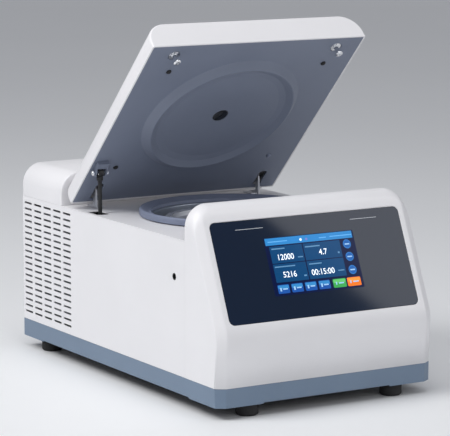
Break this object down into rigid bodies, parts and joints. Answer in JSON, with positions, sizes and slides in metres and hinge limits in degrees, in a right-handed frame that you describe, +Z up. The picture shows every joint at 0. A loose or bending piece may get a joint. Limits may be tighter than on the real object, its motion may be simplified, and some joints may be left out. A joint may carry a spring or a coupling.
{
  "type": "laboratory centrifuge",
  "caption": "Benchtop refrigerated centrifuge with a hinged lid on a gas strut, a sealed chamber holding a fixed-angle rotor, and a sloping touch-screen console.",
  "frame": {"origin": "on the table under the middle of the machine's outline", "axes": "+X to the machine's right as seen from the console, +Y to the back, +Z up"},
  "size_m": [0.38, 0.638, 0.5628],
  "materials": {
    "housing_white": "satin powder coat",
    "cover_white": "satin moulded",
    "skirt_grey": "satin moulded",
    "liner_slate": "satin moulded",
    "gasket_grey": "matte",
    "foot_rubber": "matte",
    "black_plastic": "satin",
    "dark_sheet": "satin",
    "bowl_steel": "polished",
    "polished_steel": "polished",
    "zinc_steel": "zinc plated",
    "anodised_aluminium": "anodised",
    "copper_tube": "bright",
    "console_panel": "gloss",
    "sight_clear": "clear",
    "screen": "gloss",
    "circuit_board": "satin",
    "foam": "matte",
    "enamel_black": "gloss enamel"
  },
  "bodies": {
    "chassis": {"skirt": "skirt_grey", "base_pan": "dark_sheet", "foot_front_left": "foot_rubber", "foot_front_right": "foot_rubber", "foot_rear_left": "foot_rubber", "foot_rear_right": "foot_rubber", "front_cover": "cover_white", "console_glass": "console_panel", "display_module": "screen", "control_board": "circuit_board", "left_side_panel": "housing_white", "right_side_panel": "housing_white", "release_bush": "black_plastic", "top_deck": "housing_white", "rear_cover": "cover_white", "rear_panel": "housing_white", "power_inlet": "black_plastic", "chamber_bowl": "bowl_steel", "seal_ring": "gasket_grey", "chamber_insulation": "foam", "evaporator_coil": "copper_tube", "motor_mount_1": "foot_rubber", "motor_mount_2": "foot_rubber", "motor_mount_3": "foot_rubber", "motor_plate": "zinc_steel", "motor": "enamel_black", "left_latch_guide": "black_plastic", "right_latch_guide": "black_plastic", "latch_motor": "black_plastic", "left_hinge_arm": "zinc_steel", "right_hinge_arm": "zinc_steel", "strut_mount": "zinc_steel", "compressor": "enamel_black", "condenser": "anodised_aluminium", "fan_shroud": "black_plastic", "motor_drive": "dark_sheet"},
    "lid": {"lid_shell": "housing_white", "lid_liner": "liner_slate", "sight_plug": "sight_clear", "lid_insulation": "foam", "lid_button_front_left": "gasket_grey", "lid_button_front_right": "gasket_grey", "lid_button_rear_left": "gasket_grey", "lid_button_rear_right": "gasket_grey", "left_striker": "polished_steel", "right_striker": "polished_steel", "strut_bracket": "black_plastic", "strut_ball_stud": "polished_steel", "left_hinge_bracket": "zinc_steel", "right_hinge_bracket": "zinc_steel", "left_hinge_pin": "polished_steel", "right_hinge_pin": "polished_steel"},
    "strut_rod": {"strut_rod": "dark_sheet"},
    "strut_tube": {"strut_tube": "dark_sheet"},
    "rotor": {"rotor": "anodised_aluminium", "drive_spindle": "polished_steel"},
    "rotor_nut": {"rotor_nut": "black_plastic"},
    "latch": {"latch_shaft": "zinc_steel"},
    "fan": {"condenser_fan": "black_plastic"},
    "power_switch": {"power_switch": "black_plastic"}
  },
  "joints": [
    {"name": "lid_hinge", "type": "hinge", "parent": "chassis", "child": "lid", "pos_m": [0, 0.1527, 0.295], "axis": [1, 0, 0], "range_deg": [0, 44.75]},
    {"name": "strut_swivel", "type": "hinge", "parent": "lid", "child": "strut_rod", "pos_m": [-0.172, 0.07956, 0.31752], "axis": [1, 0, 0], "range_deg": [-47.5, 0.5]},
    {"name": "strut_slide", "type": "slide", "parent": "strut_rod", "child": "strut_tube", "axis": [0, -0.002, 1], "range_m": [-0.0005, 0.0605]},
    {"name": "rotor_spin", "type": "hinge", "parent": "chassis", "child": "rotor", "pos_m": [0, -0.035, 0.2], "axis": [0, 0, 1], "continuous": true},
    {"name": "rotor_nut_turn", "type": "hinge", "parent": "rotor", "child": "rotor_nut", "pos_m": [0, -0.035, 0.225], "axis": [0, 0, 1], "continuous": true},
    {"name": "latch_turn", "type": "hinge", "parent": "chassis", "child": "latch", "pos_m": [0, -0.1874, 0.1947], "axis": [-1, 0, 0], "range_deg": [0, 8]},
    {"name": "fan_spin", "type": "hinge", "parent": "chassis", "child": "fan", "pos_m": [-0.126, 0.232, 0.15], "axis": [1, 0, 0], "continuous": true},
    {"name": "power_switch_rock", "type": "hinge", "parent": "chassis", "child": "power_switch", "pos_m": [-0.07, 0.312, 0.108], "axis": [-1, 0, 0], "range_deg": [0, 18]}
  ],
  "couplings": [
    {"joint": "strut_swivel", "follows": "lid_hinge", "ratio": -1.0407},
    {"joint": "strut_slide", "follows": "lid_hinge", "m_per_rad": 0.074194}
  ]
}
